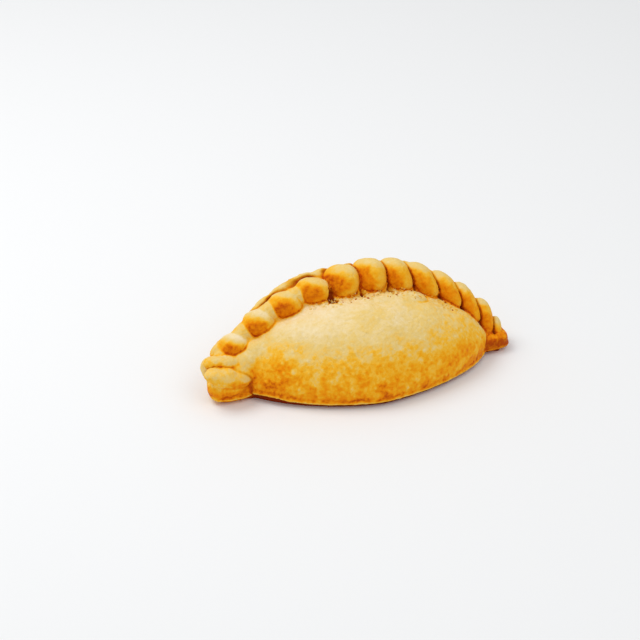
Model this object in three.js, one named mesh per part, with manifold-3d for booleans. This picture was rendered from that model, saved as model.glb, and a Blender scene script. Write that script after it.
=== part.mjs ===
// A baked meat pasty: one closed pastry parcel, millimetres, +Z up.
//
// The filled dome lies on a flat base along X. The pastry's joined edge is pinched into a rope of
// overlapping pleats that climbs from the left tail over the back of the dome to the right tail.
// +Y points to the back, where the rope stands, and the dome's plain belly faces -Y.
import * as THREE from "three";
import { mergeVertices } from "three/addons/utils/BufferGeometryUtils.js";
import Module from "manifold-3d";

const { degToRad, clamp, lerp, smoothstep } = THREE.MathUtils;

// Driving dimensions of the filled dome
const DOME_HALF_LENGTH = 73;
const DOME_MIDDLE_X = 2;
const DOME_HEIGHT = 44;
const FRONT_REACH = 29;
const BACK_REACH = 33;
const BELLY_HEIGHT = 11; // height of the dome's widest line above its base
const UNDERSIDE_DEPTH = 18; // how deep the rounded underside would go without the flat base
const DOME_LEAN = 9; // how far the dome's top leans back towards the rope
const END_BENDS = [14, 5]; // how far the left and the right end bend towards the back
const BEND_POWER = 1.25; // power of that bend: 1 is straight from the middle
const PLAN_POINT = 0.58; // power of the taper to the ends, seen from above: over 0.5 is pointed
const HEIGHT_POINTS = [0.5, 0.68]; // the same for the height of the left and the right end
const UNDER_POINT = 0.2; // and for the depth of the underside, at both ends
const TOP_ROUNDNESS = 2.2; // superellipse power of a section above the belly line
const UNDER_ROUNDNESS = 3; // and below it

// Low swells that the filling presses into the crust: two waves with their shares of the height,
// their turns along X and Y over one swell's length, and their starting angles
const SWELL_HEIGHT = 0.8;
const SWELL_LENGTH = 34;
const SWELL_WAVES = [
  { share: 0.65, turnsX: 1, turnsY: 1.3, start: 0.6 },
  { share: 0.35, turnsX: 1.7, turnsY: -1.1, start: 2.1 },
];

// Driving dimensions of the crimped rope: an arch of two quarter ovals in a plane that leans back
const ROPE_LEFT_REACH = 97;
const ROPE_RIGHT_REACH = 73;
const ROPE_APEX_X = 12;
const ROPE_BASE_Y = 8; // where the arch's plane meets the base
const ROPE_RISE = 53.5;
const ROPE_LEAN = degToRad(22.5);
const ROPE_POINT = 1.08; // power of the two ovals: 1 is a plain ellipse, over 1 is slimmer
const WEB_HALF_DEPTH = 8; // the sheet of pastry that joins the dome to the rope

// The rope's pleats. Shares are of the arch's length, from its left foot to its right one
const PLEAT_COUNT = 12;
const FIRST_PLEAT_SHARE = 0.152;
const LAST_PLEAT_SHARE = 0.955;
const PLEAT_EASE = 0.045; // how much longer the left pleats are than the right ones
const PLEAT_OVERLAP = 1.15; // length of a pleat over the distance to the next
const PLEAT_HALF_HEIGHTS = [6, 12.5]; // at the rope's left and right end, up in the arch's plane
const PLEAT_HALF_DEPTHS = [8.6, 6.8]; // across that plane
const PLEAT_TOPS = [9, 7]; // the pleats' tops above the arch, at its apex and its right end
const TOP_FALL_SHARES = [0.6, 0.85]; // where the tops start and end their fall
const PLEAT_ROUNDNESS = 2.5;
const PLEAT_WEDGE = 0.3; // the right end of a pleat is thicker than its left by this share
const PLEAT_SLANT = degToRad(-6); // the pleats stand upright on the arch, with their right ends lower
const PLEAT_TURN = degToRad(25); // each pleat's right end lies over the next
const PLEAT_SHEAR = Math.tan(degToRad(25)); // the right pleats' tops lean back towards the apex
const SHEAR_RISE_SHARES = [0.5, 0.7]; // where that lean starts and is full
const SHEAR_FALL_SHARES = [0.8, 0.96]; // where it fades and has gone
const PLEAT_UNEVENNESS = 0.06;
const UNEVEN_STEPS = [12.9898, 78.233]; // angles between neighbours of the sine that makes it uneven
const UNEVEN_STEEPNESS = 437.585;

// Over the rope's left part the pleats hang rounder and straighter from a smooth ridge
const HUNG_SHARES = [0.36, 0.5]; // where the hung pleats end and the upright ones start
const HUNG_TOP = 8;
const HUNG_HALF_HEIGHT = 7.7;
const HUNG_SLANT = degToRad(-16);
const HUNG_TURN = degToRad(4);
const HUNG_ROUNDNESS = 2.2;
const RIDGE_PLEATS = [-0.5, 2.5]; // the first and the last pleat that runs into the ridge
const RIDGE_OUT = 1.6;
const RIDGE_HALF_SIZES = new THREE.Vector3(11, 5.6, 5);

// The pastry's cut edge shows as a lip behind the rope, highest over its left part
const LIP_PLEATS = [1.3, 6.3];
const LIP_OUT = 4.2;
const LIP_MIDDLE_SHARE = 0.37; // where the lip stands out most
const LIP_SPREAD_SHARE = 0.1; // over how far it falls off
const LIP_BACKS = [6.4, 5]; // behind the rope's middle line, at its left and right end
const LIP_HALF_SIZES = new THREE.Vector3(12.5, 6.4, 3.2);

// A shoulder of pastry fills the valley between the rope and the dome's top
const SHOULDER_PLEATS = [-0.5, 6];
const SHOULDER_STEP = 1.3; // in pleats
const SHOULDER_SHARES = [0.12, 0.5]; // between these it runs from its left place to its middle one
const SHOULDER_DOWNS = [13.2, 17.8]; // below the arch, in its plane
const SHOULDER_FRONTS = [3, 8.6]; // in front of that plane
const SHOULDER_HALF_SIZES = new THREE.Vector3(13, 8, 8.5);

// The rope ends in two tails: a block on the base at each end, and at the left a finger, a flap and
// the hood of the first pleat folded above it, joined by an edge. A tilt raises the left end of a form
const BLOCK_ROUNDNESS = 3.4;
const FOLD_ROUNDNESS = 2.3;
const LEFT_BLOCK = {
  middle: [-74, 10, 6],
  halfSizes: [11.5, 9, 6.8],
  roundness: BLOCK_ROUNDNESS,
  tilt: 0,
};
const LEFT_FINGER = {
  middle: [-77.8, 4.2, 16.1],
  halfSizes: [13.5, 6, 5.1],
  roundness: FOLD_ROUNDNESS,
  tilt: degToRad(18),
};
const LEFT_FLAP = {
  middle: [-70.6, 10.8, 19.5],
  halfSizes: [18.7, 5, 4.6],
  roundness: FOLD_ROUNDNESS,
  tilt: degToRad(12),
};
const LEFT_HOOD = {
  middle: [-73.6, 20.5, 25.2],
  halfSizes: [10, 5, 4.6],
  roundness: FOLD_ROUNDNESS,
  tilt: degToRad(-41),
};
const LEFT_EDGE = {
  middle: [-83.5, 15, 16.6],
  halfSizes: [5.4, 5, 7.6],
  roundness: FOLD_ROUNDNESS,
  tilt: 0,
};
const RIGHT_BLOCK = {
  middle: [77, 8.7, 5.2],
  halfSizes: [12.2, 9, 5.8],
  roundness: BLOCK_ROUNDNESS,
  tilt: 0,
};

// How finely each form is divided: around it, and from pole to pole
const DOME_DIVISIONS = [52, 30];
const WEB_DIVISIONS = [40, 20];
const PLEAT_DIVISIONS = [16, 10];
const ROW_DIVISIONS = [16, 8];
const TAIL_DIVISIONS = [18, 10];
const WELD_DISTANCE = 1e-4;

const BASE_BLOCK = new THREE.Vector3(400, 300, 60); // larger than the parcel, all below its base

const CRUST_COLOUR = 0xdf9a35;
const CRUST_ROUGHNESS = 0.5;

const FRONT_NORMAL = new THREE.Vector3(0, -Math.cos(ROPE_LEAN), Math.sin(ROPE_LEAN));
const OUT_AT_APEX = new THREE.Vector3(0, Math.sin(ROPE_LEAN), Math.cos(ROPE_LEAN));
const RIGHT = new THREE.Vector3(1, 0, 0);
const BACK = new THREE.Vector3(0, 1, 0);
const UP = new THREE.Vector3(0, 0, 1);

const wasm = await Module();
wasm.setup();

// A number raised to a power, with its sign kept
function signedPower(value, power) {
  return Math.sign(value) * Math.abs(value) ** power;
}

// The factor that brings a direction to the unit superellipse of the given power
function superScale(components, power) {
  const sum = components.reduce((total, part) => total + Math.abs(part) ** power, 0);
  return sum ** (-1 / power);
}

// A repeatable uneven number from -1 to 1: the fraction of a steep sine wave
function uneven(index, kind) {
  const wave = Math.sin(index * UNEVEN_STEPS[0] + kind * UNEVEN_STEPS[1]) * UNEVEN_STEEPNESS;
  return 2 * (wave - Math.floor(wave)) - 1;
}

function solidOf(geometry) {
  const bare = geometry.clone();
  bare.deleteAttribute("normal");
  bare.deleteAttribute("uv");
  const merged = mergeVertices(bare, WELD_DISTANCE);
  return new wasm.Manifold(
    new wasm.Mesh({
      numProp: 3,
      vertProperties: merged.attributes.position.array,
      triVerts: new Uint32Array(merged.index.array),
    }),
  );
}

function geometryOf(solid) {
  const mesh = solid.getMesh();
  const geometry = new THREE.BufferGeometry();
  geometry.setAttribute("position", new THREE.BufferAttribute(mesh.vertProperties, 3));
  geometry.setIndex(new THREE.BufferAttribute(mesh.triVerts, 1));
  geometry.computeVertexNormals();
  return geometry;
}

// Moves every vertex of a geometry to the place that a function gives it
function reshape(geometry, place) {
  const position = geometry.attributes.position;
  const point = new THREE.Vector3();
  for (let i = 0; i < position.count; i++) {
    place(point.fromBufferAttribute(position, i));
    position.setXYZ(i, point.x, point.y, point.z);
  }
  return geometry;
}

// A rounded pillow: a sphere squared up to a superellipsoid, thicker at one end by the wedge share and
// sheared, sized along three axes and set at a place
function pillow({ centre, axes, halfSizes, roundness, divisions, wedge = 0, shear = 0 }) {
  const frame = new THREE.Matrix4().makeBasis(...axes).setPosition(centre);
  return reshape(new THREE.SphereGeometry(1, ...divisions), (point) => {
    point.multiplyScalar(superScale(point.toArray(), roundness));
    point.z *= 1 + wedge * point.x;
    point.multiply(halfSizes);
    point.x -= shear * point.y;
    point.applyMatrix4(frame);
  });
}

function swell(x, y) {
  const turn = (2 * Math.PI) / SWELL_LENGTH;
  return SWELL_WAVES.reduce((height, { share, turnsX, turnsY, start }) => {
    return height + SWELL_HEIGHT * share * Math.sin(turn * (turnsX * x + turnsY * y) + start);
  }, 0);
}

// The filled dome: a sphere with its poles on X, each ring reshaped to a section of the parcel
function filledDome() {
  const sphere = new THREE.SphereGeometry(1, ...DOME_DIVISIONS).rotateZ(Math.PI / 2);
  return reshape(sphere, (point) => {
    const along = clamp(point.x, -1, 1);
    const end = along < 0 ? 0 : 1;
    const ring = Math.hypot(point.y, point.z) || 1;
    const section = [point.y / ring, point.z / ring];
    const scale = superScale(section, point.z > 0 ? TOP_ROUNDNESS : UNDER_ROUNDNESS);
    const across = section[0] * scale;
    const up = section[1] * scale;
    const fullness = 1 - along * along;
    const reach = across < 0 ? FRONT_REACH : BACK_REACH;
    const rise = (DOME_HEIGHT - BELLY_HEIGHT) * fullness ** HEIGHT_POINTS[end];
    const depth = UNDERSIDE_DEPTH * fullness ** UNDER_POINT;
    const x = DOME_MIDDLE_X + DOME_HALF_LENGTH * along;
    const z = BELLY_HEIGHT + (up > 0 ? rise : depth) * up;
    const lean = (DOME_LEAN * Math.max(z - BELLY_HEIGHT, 0)) / (DOME_HEIGHT - BELLY_HEIGHT);
    const bend = END_BENDS[end] * Math.abs(along) ** BEND_POWER;
    const y = reach * fullness ** PLAN_POINT * across + lean + bend;
    point.set(x, y, z + Math.max(up, 0) * swell(x, y));
  });
}

// The place in the arch's plane that belongs to a direction from the middle of the arch's foot
function archPlace(side, rise, target) {
  const reach = side < 0 ? ROPE_LEFT_REACH : ROPE_RIGHT_REACH;
  target.copy(OUT_AT_APEX).multiplyScalar(ROPE_RISE * signedPower(rise, ROPE_POINT));
  target.x = ROPE_APEX_X + reach * signedPower(side, ROPE_POINT);
  target.y += ROPE_BASE_Y;
  return target;
}

// The rope's middle line
class RopeArch extends THREE.Curve {
  getPoint(t, target = new THREE.Vector3()) {
    const angle = Math.PI * (1 - t);
    return archPlace(Math.cos(angle), Math.sin(angle), target);
  }
}

// The joined sheets between dome and rope: a thin lens in the arch's plane, its rim on the arch
function ropeWeb() {
  return reshape(new THREE.SphereGeometry(1, ...WEB_DIVISIONS), (point) => {
    const depth = WEB_HALF_DEPTH * point.z;
    archPlace(point.x, point.y, point).addScaledVector(FRONT_NORMAL, depth);
  });
}

// Three axes from a direction in the arch's plane: along it, outwards, and to the front, slanted in
// that plane and then turned about the outward one
function planeAxes(along, slant = 0, turn = 0) {
  const out = new THREE.Vector3().crossVectors(FRONT_NORMAL, along).normalize();
  const slanted = [along, out].map((axis) => axis.clone().applyAxisAngle(FRONT_NORMAL, slant));
  const turned = slanted[0].clone().applyAxisAngle(slanted[1], -turn);
  const front = new THREE.Vector3().crossVectors(turned, slanted[1]).normalize();
  return [turned, slanted[1], front];
}

function pleatShare(index) {
  const step = index / (PLEAT_COUNT - 1);
  return lerp(FIRST_PLEAT_SHARE, LAST_PLEAT_SHARE, step + PLEAT_EASE * Math.sin(Math.PI * step));
}

// Half the length of a pleat, from the distance between its neighbours: shorter where the rope is steep
function pleatHalfLength(rope, index) {
  const pitch = (pleatShare(index + 0.5) - pleatShare(index - 0.5)) * rope.getLength();
  const steepness = rope.getTangentAt(pleatShare(index)).normalize().x;
  return (pitch * PLEAT_OVERLAP * Math.sqrt(steepness)) / 2;
}

function ropePleats(rope) {
  return Array.from({ length: PLEAT_COUNT }, (_, i) => {
    const share = pleatShare(i);
    const hung = 1 - smoothstep(share, ...HUNG_SHARES);
    const halfHeight = lerp(lerp(...PLEAT_HALF_HEIGHTS, share), HUNG_HALF_HEIGHT, hung);
    const top = lerp(lerp(...PLEAT_TOPS, smoothstep(share, ...TOP_FALL_SHARES)), HUNG_TOP, hung);
    const leaning = smoothstep(share, ...SHEAR_RISE_SHARES) * (1 - smoothstep(share, ...SHEAR_FALL_SHARES));
    const sizes = [pleatHalfLength(rope, i), halfHeight, lerp(...PLEAT_HALF_DEPTHS, share)];
    const unevenSizes = sizes.map((size, k) => size * (1 + PLEAT_UNEVENNESS * uneven(i, k + 1)));
    return pillow({
      centre: rope.getPointAt(share).addScaledVector(OUT_AT_APEX, top - halfHeight),
      axes: planeAxes(RIGHT, lerp(PLEAT_SLANT, HUNG_SLANT, hung), lerp(PLEAT_TURN, HUNG_TURN, hung)),
      halfSizes: new THREE.Vector3(...unevenSizes),
      roundness: lerp(PLEAT_ROUNDNESS, HUNG_ROUNDNESS, hung),
      wedge: PLEAT_WEDGE * (1 - hung),
      shear: PLEAT_SHEAR * leaning,
      divisions: PLEAT_DIVISIONS,
    });
  });
}

// A row of overlapping pillows along the rope, from one pleat to another, each by its share of the rope
function ropeRow([first, last], step, pillowAt) {
  const count = Math.floor((last - first) / step) + 1;
  return Array.from({ length: count }, (_, i) => pillowAt(pleatShare(first + i * step)));
}

function leftRidge(rope) {
  return ropeRow(RIDGE_PLEATS, 1, (share) => {
    const axes = planeAxes(rope.getTangentAt(share).normalize());
    return pillow({
      centre: rope.getPointAt(share).addScaledVector(axes[1], RIDGE_OUT),
      axes,
      halfSizes: RIDGE_HALF_SIZES,
      roundness: HUNG_ROUNDNESS,
      divisions: ROW_DIVISIONS,
    });
  });
}

function backLip(rope) {
  return ropeRow(LIP_PLEATS, 1, (share) => {
    const axes = planeAxes(rope.getTangentAt(share).normalize());
    const out = LIP_OUT * Math.exp(-(((share - LIP_MIDDLE_SHARE) / LIP_SPREAD_SHARE) ** 2));
    const back = lerp(...LIP_BACKS, share);
    return pillow({
      centre: rope.getPointAt(share).addScaledVector(axes[1], out).addScaledVector(axes[2], -back),
      axes,
      halfSizes: LIP_HALF_SIZES,
      roundness: PLEAT_ROUNDNESS,
      divisions: ROW_DIVISIONS,
    });
  });
}

function shoulder(rope) {
  const axes = planeAxes(RIGHT);
  return ropeRow(SHOULDER_PLEATS, SHOULDER_STEP, (share) => {
    const inwards = smoothstep(share, ...SHOULDER_SHARES);
    const centre = rope
      .getPointAt(share)
      .addScaledVector(OUT_AT_APEX, -lerp(...SHOULDER_DOWNS, inwards))
      .addScaledVector(FRONT_NORMAL, lerp(...SHOULDER_FRONTS, inwards));
    return pillow({
      centre,
      axes,
      halfSizes: SHOULDER_HALF_SIZES,
      roundness: HUNG_ROUNDNESS,
      divisions: ROW_DIVISIONS,
    });
  });
}

function tailForm({ middle, halfSizes, roundness, tilt }) {
  return pillow({
    centre: new THREE.Vector3(...middle),
    axes: [RIGHT, BACK, UP].map((axis) => axis.clone().applyAxisAngle(BACK, tilt)),
    halfSizes: new THREE.Vector3(...halfSizes),
    roundness,
    divisions: TAIL_DIVISIONS,
  });
}

// A block below the base plane, taken away so that the parcel lies flat
function belowBase() {
  return new THREE.BoxGeometry(...BASE_BLOCK).translate(0, 0, -BASE_BLOCK.z / 2);
}

function pastySolid() {
  const rope = new RopeArch();
  const pieces = [
    filledDome(),
    ropeWeb(),
    ...ropePleats(rope),
    ...leftRidge(rope),
    ...backLip(rope),
    ...shoulder(rope),
    ...[LEFT_BLOCK, LEFT_FINGER, LEFT_FLAP, LEFT_HOOD, LEFT_EDGE, RIGHT_BLOCK].map(tailForm),
  ];
  const fused = pieces.map(solidOf).reduce((whole, piece) => whole.add(piece));
  return fused.subtract(solidOf(belowBase()));
}

// The part's origin is the middle of its bounding box, on the base
function centredOnBase(geometry) {
  geometry.computeBoundingBox();
  const middle = geometry.boundingBox.getCenter(new THREE.Vector3());
  return geometry.translate(-middle.x, -middle.y, -geometry.boundingBox.min.z);
}

const crust = new THREE.MeshStandardMaterial({
  color: CRUST_COLOUR,
  roughness: CRUST_ROUGHNESS,
  metalness: 0,
});
const pastyMesh = new THREE.Mesh(centredOnBase(geometryOf(pastySolid())), crust);
pastyMesh.name = "pasty";

const pasty = new THREE.Group();
pasty.add(pastyMesh);

export default pasty;
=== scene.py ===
"""A baked meat pasty: an egg-washed shortcrust dome with a crimped rope, on a plain studio floor."""

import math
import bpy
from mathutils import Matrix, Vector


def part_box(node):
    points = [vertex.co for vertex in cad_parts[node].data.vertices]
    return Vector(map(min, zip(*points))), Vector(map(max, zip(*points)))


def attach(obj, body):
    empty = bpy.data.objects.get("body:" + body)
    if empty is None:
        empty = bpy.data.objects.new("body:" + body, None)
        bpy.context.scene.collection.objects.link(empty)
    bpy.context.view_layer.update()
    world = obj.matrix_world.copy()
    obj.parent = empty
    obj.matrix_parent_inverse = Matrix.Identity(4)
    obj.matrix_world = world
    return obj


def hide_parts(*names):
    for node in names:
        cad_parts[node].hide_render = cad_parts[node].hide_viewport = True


bl_info = {
    "name": "Baked meat pasty",
    "version": (1, 0, 0),
    "blender": (4, 5, 0),
    "location": "View3D > Sidebar > Pasty",
    "description": "A crimped, egg-washed meat pasty on a plain studio floor",
    "category": "Object",
}

from collections import namedtuple

import bmesh
import bpy
import numpy as np
from bpy.props import FloatProperty, FloatVectorProperty, IntProperty, PointerProperty
from mathutils import Matrix, Vector, noise

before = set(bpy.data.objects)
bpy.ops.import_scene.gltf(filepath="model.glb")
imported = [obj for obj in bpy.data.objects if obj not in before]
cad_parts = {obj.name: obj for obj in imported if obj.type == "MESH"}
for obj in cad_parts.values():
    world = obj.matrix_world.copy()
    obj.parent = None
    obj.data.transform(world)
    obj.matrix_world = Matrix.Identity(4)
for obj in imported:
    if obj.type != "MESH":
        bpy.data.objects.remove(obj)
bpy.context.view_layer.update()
CAD_NODE = "pasty"
BODY = "root"

# Divisions of each kind of ball, around its poles and from pole to pole
DOME_DIVISIONS = (180, 90)
WEB_DIVISIONS = (120, 60)
PLEAT_DIVISIONS = (48, 32)
FOLD_DIVISIONS = (40, 24)
CRUMB_DIVISIONS = (10, 7)

# Uneven patterns of the crust: the size of their features in metres, and their seed
CRACK_GAPS = (0.006, 3)
TORN_PASTRY = (0.0024, 4)
SLOW_DRIFT = (0.016, 5)
DARK_SPECKS = (0.0016, 6)
RAGGED_HOLES = (0.0018, 8)
RAGGED_EDGES = (0.004, 9)
EGG_BLOTCHES = (0.0055, 12)
EGG_SPREAD = (0.011, 13)
BUBBLE_SEED, GRAIN_SEED, LUMP_SEED = 1, 2, 14
NOISE_STEPS = (17.3, -9.1, 4.7)

# Kinds of uneven numbers that the crumbs and the pleats' tones take
CRUMB_PLACE, CRUMB_RADIUS, CRUMB_TONE, PLEAT_TONE = 3, 4, 5, 7

# Waves of the dome's swells: share of their height, turns along X and Y, and phase
SWELL_WAVES = ((0.65, 1.0, 1.3, 0.6), (0.35, 1.7, -1.1, 2.1))

# Places by the share of the arch's length
LOWEST_PLEATS_END = (0.16, 0.34)
SOFT_RIDGE_ENDS = (0.42, 0.52)
UPRIGHT_PLEATS = (0.58, 0.66)
NOTCHED_PLEATS = (0.6, 0.62)
LAST_PLEATS = (0.85, 0.89)
TOPS_COME_DOWN = (0.6, 0.85)
SHOULDER_RISES = (0.12, 0.5)
SHOULDER_ENDS = (0.62, 0.7)
CRACK_WINDOW = (0.12, 0.2, 0.52, 0.62)  # start, full, fade and end
CRACK_OPENINGS = ((0.21, 0.012), (0.355, 0.014))  # middle and spread of each

# Superellipse power of the ridge's and the shoulder's pillows
SOFT_ROUNDNESS = 2.2

# Depths in a form, 1 on its surface, between which the crust stops belonging to it
SKIN = (1.02, 1.14)
RIDGE_SKIN = (1.02, 1.16)
LIP_SKIN = (1.02, 1.2)

# Gaps between the depths in two forms, from the bottom of a crease to its brink
PLEAT_CREASE = (0.0, 0.09)
TAIL_CREASE = (0.0, 0.1)
CRACK_LINE = (0.05, 0.3)
NOTCH = (0.08, 0.22)

# In front of the arch's plane in metres: where the back of the dome ends
BACK_ENDS = (-0.014, -0.004)

# The torn seam in metres
SEAM_WINDOW = (-0.030, -0.018, 0.052, 0.068)  # start, full, fade and end along X
SEAM_RISE = 0.001  # its middle above the pleats' lower ends
SEAM_HALF = 0.0019

# Holes of the seam: the pleat at their left, and in metres half width, height and shift to the right
SeamHole = namedtuple("SeamHole", "pleat half_width height shift")
SEAM_HOLES = (
    SeamHole(3, 0.0026, 0.0095, 0.0),
    SeamHole(4, 0.0010, 0.0035, 0.001),
    SeamHole(5, 0.0010, 0.0035, 0.001),
)
HOLE_LIFT = 0.001
HOLE_RAGGEDNESS = 0.0006

# The bottom sheet's rim, in halves of its thickness from its middle: rows of points, section, gap
RIM_ROWS = (-2, -1, 1, 2)
RIM_SECTION = ((-2, -1, 1, 4), (0, 1, 1, 0))
BELOW_RIM = (-2.0, -1.0)

# How far parts of the crust are baked, from 0, floury, to 1, chestnut
BELLY_TONE = 0.65
SEAM_PALER = 0.47
BACK_TONE = 0.55
PLEAT_CORE_TONE = 0.84
PLEAT_MARGIN_TONE = 0.50
RIDGE_TONE = 0.3
LIP_TONE = 0.27
RIGHT_TAIL_TONE = 0.97
# The rim's pale tone is partly its own and partly a painted highlight
RIM_TONE_AND_HIGHLIGHT = 0.25

# Painted shade that darkens hollows and painted highlight that pales raised edges: from what depth or
# height in metres, what depth or height more would be worth a whole tone, and the most
HOLLOW_PAINTED_SHADE = (0.00003, 0.0005, 0.35)
RAISED_PAINTED_HIGHLIGHT = (0.0002, 0.0014, 0.16)

# Well baked patches of the dome: tone, then middle and spread along it and up it, as shares
Patch = namedtuple("Patch", "tone along along_spread up up_spread")
DOME_PATCHES = (
    Patch(0.20, -0.80, 0.15, 0.45, 0.35),
    Patch(0.11, -0.05, 0.13, 0.25, 0.28),
    Patch(0.16, -0.72, 0.22, 0.72, 0.20),
)

# Forms of the left tail: tones of top and front, the height between them, and where the front fades
BLOCK, FINGER, FLAP, HOOD, EDGE = range(5)
TailTone = namedtuple("TailTone", "top front front_top fade_from")
LEFT_TAIL_TONES = {
    BLOCK: TailTone(0.60, 0.82, 0.7, -0.95),
    FINGER: TailTone(0.30, 0.80, 0.1, 0.0),
    FLAP: TailTone(0.26, 0.58, 0.5, -1.1),
    HOOD: TailTone(0.36, 0.80, 0.6, -1.2),
    EDGE: TailTone(0.28, 0.40, 0.0, -0.9),
}

# Soft lamps: place and diameter in metres
SOFT_BOX = ((-0.45, 0.35, 0.9), 0.6)
FILL_LIGHT = ((0.3, -0.55, 0.95), 0.7)
SENSOR_WIDTH_MM = 36


def linear_colour(code):
    """A hex colour such as "dd8a11" in sRGB, as the linear red, green, blue and alpha of a shader."""
    channels = [int(code[i : i + 2], 16) / 255 for i in (0, 2, 4)]
    linear = [c / 12.92 if c <= 0.04045 else ((c + 0.055) / 1.055) ** 2.4 for c in channels]
    return (*linear, 1.0)


def length(name, description, default):
    return FloatProperty(name=name, description=description, default=default, unit="LENGTH", precision=5)


def lengths(name, description, default):
    return FloatVectorProperty(
        name=name, description=description, default=default, size=len(default), unit="LENGTH", precision=5
    )


def number(name, description, default):
    return FloatProperty(name=name, description=description, default=default, precision=4)


def angle(name, description, degrees):
    return FloatProperty(name=name, description=description, default=math.radians(degrees), subtype="ANGLE")


def placed(name, description, middle, half_sizes):
    """A form's middle and half sizes along X, Y and Z, as one property of six lengths."""
    return lengths(name, description, (*middle, *half_sizes))


def colour(name, description, code):
    tone = linear_colour(code)
    return FloatVectorProperty(
        name=name, description=description, default=tone, size=4, subtype="COLOR", min=0, max=1
    )


class DomeSizes(bpy.types.PropertyGroup):
    """The filled dome, measured before the base is cut flat"""

    half_length: length("Half length", "Half the dome's length along X", 0.073)
    middle_x: length("Middle", "Where the dome's middle lies along X", 0.002)
    height: length("Height", "Height of the dome above its base", 0.044)
    front_reach: length("Front reach", "From the dome's middle line to its belly", 0.029)
    back_reach: length("Back reach", "From the dome's middle line to its back", 0.033)
    belly_height: length("Belly height", "Height of the dome's widest line", 0.011)
    underside_depth: length("Underside depth", "Depth of the round underside without the flat base", 0.018)
    lean: length("Lean", "How far the dome's top leans back", 0.009)
    end_bends: lengths("End bends", "How far the left and the right end bend to the back", (0.014, 0.005))
    bend_power: number("Bend power", "Power of that bend, 1 is straight from the middle", 1.25)
    plan_point: number("Plan point", "Power of the taper to the ends seen from above", 0.58)
    left_height_point: number("Left height point", "Power of the taper in height to the left end", 0.5)
    right_height_point: number("Right height point", "Power of the taper in height to the right end", 0.68)
    under_point: number("Under point", "Power of the taper in the underside's depth to the ends", 0.2)
    top_roundness: number("Top roundness", "Superellipse power above the belly line", 2.2)
    under_roundness: number("Under roundness", "Superellipse power below the belly line", 3.0)
    swell_height: length("Swell height", "Height of the swells that the filling makes", 0.0008)
    swell_length: length("Swell length", "Distance between those swells", 0.034)


class RopeSizes(bpy.types.PropertyGroup):
    """The crimped rope that arches over the back of the dome"""

    left_reach: length("Left reach", "From the arch's apex to its left foot", 0.097)
    right_reach: length("Right reach", "From the arch's apex to its right foot", 0.073)
    apex_x: length("Apex", "Where the arch is highest along X", 0.012)
    base_y: length("Foot", "Where the arch's plane meets the base", 0.008)
    rise: length("Rise", "Height of the arch in its leaning plane", 0.0535)
    lean: angle("Lean", "Angle of the arch's plane to the vertical", 22.5)
    point: number("Point", "Power of the arch's two quarter ovals", 1.08)
    web_half_depth: length("Web", "Half thickness of the pastry between dome and rope", 0.008)
    pleat_count: IntProperty(name="Pleats", description="Number of pleats", default=12, min=3)
    first_share: number("First pleat", "Share of the arch's length at the first pleat", 0.152)
    last_share: number("Last pleat", "Share of the arch's length at the last pleat", 0.955)
    ease: number("Ease", "How much longer the left pleats are than the right ones", 0.045)
    overlap: number("Overlap", "Length of a pleat over the distance to the next", 1.15)
    pleat_tops: lengths("Pleat tops", "Above the arch, at its apex and its right end", (0.009, 0.007))
    half_heights: lengths("Pleat half heights", "At the left and the right end", (0.006, 0.0125))
    half_depths: lengths("Pleat half depths", "At the left and the right end", (0.0086, 0.0068))
    roundness: number("Pleat roundness", "Superellipse power of a pleat", 2.5)
    wedge: number("Wedge", "How much thicker a pleat's right end is", 0.3)
    slant: angle("Slant", "Turn of the upright pleats in the arch's plane", -6)
    shear: angle("Shear", "How far the right pleats' tops lean to the left", 25)
    shear_shares: FloatVectorProperty(
        name="Shear shares", description="Shares of the arch where it starts, is full, fades, has faded",
        default=(0.5, 0.7, 0.8, 0.96), size=4,
    )
    overlap_turn: angle("Overlap turn", "How far each pleat's right end turns over the next", 25)
    unevenness: number("Unevenness", "Share by which the pleats' sizes vary", 0.06)
    hung_until: number("Hung until", "Share of the arch where the pleats hang from the ridge", 0.36)
    upright_from: number("Upright from", "Share of the arch where the pleats reach its top", 0.50)
    hung_top: length("Hung top", "How far the hung pleats' tops stand above the arch", 0.008)
    hung_half_height: length("Hung half height", "Half the height of a hung pleat", 0.0077)
    hung_turn: angle("Hung turn", "Overlap turn of a hung pleat", 4)
    hung_slant: angle("Hung slant", "Turn of a hung pleat in the arch's plane", -16)
    hung_roundness: number("Hung roundness", "Superellipse power of a hung pleat", 2.2)
    lip_out: length("Lip out", "How far the cut edge stands out behind the rope", 0.0042)
    lip_middle: number("Lip middle", "Share of the arch where the cut edge stands out most", 0.37)
    lip_spread: number("Lip spread", "Share of the arch over which it falls off", 0.1)
    lip_first: number("First lip", "The first pleat with a lip behind it", 1.3)
    lip_last: number("Last lip", "The last pleat with a lip behind it", 6.8)
    lip_backs: lengths("Lip back", "Behind the rope's middle, at its left and right end", (0.0064, 0.005))
    lip_half_sizes: lengths("Lip", "Half sizes of the cut edge's pillows", (0.0125, 0.0064, 0.0032))
    ridge_out: length("Ridge out", "Middle of the ridge in front of the cut edge", 0.0016)
    ridge_last: number("Ridge end", "Last pleat whose top runs into the ridge", 2.3)
    ridge_half_sizes: lengths("Ridge", "Half sizes of the ridge's pillows", (0.011, 0.0056, 0.005))
    shoulder_last: number("Shoulder end", "Last pleat with a shoulder below it", 6.0)
    shoulder_downs: lengths("Shoulder below", "Below the arch, left and middle", (0.0132, 0.0178))
    shoulder_fronts: lengths("Shoulder front", "In front of it, left and middle", (0.003, 0.0086))
    shoulder_half_sizes: lengths("Shoulder", "Half sizes of its pillows", (0.013, 0.008, 0.0085))


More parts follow.
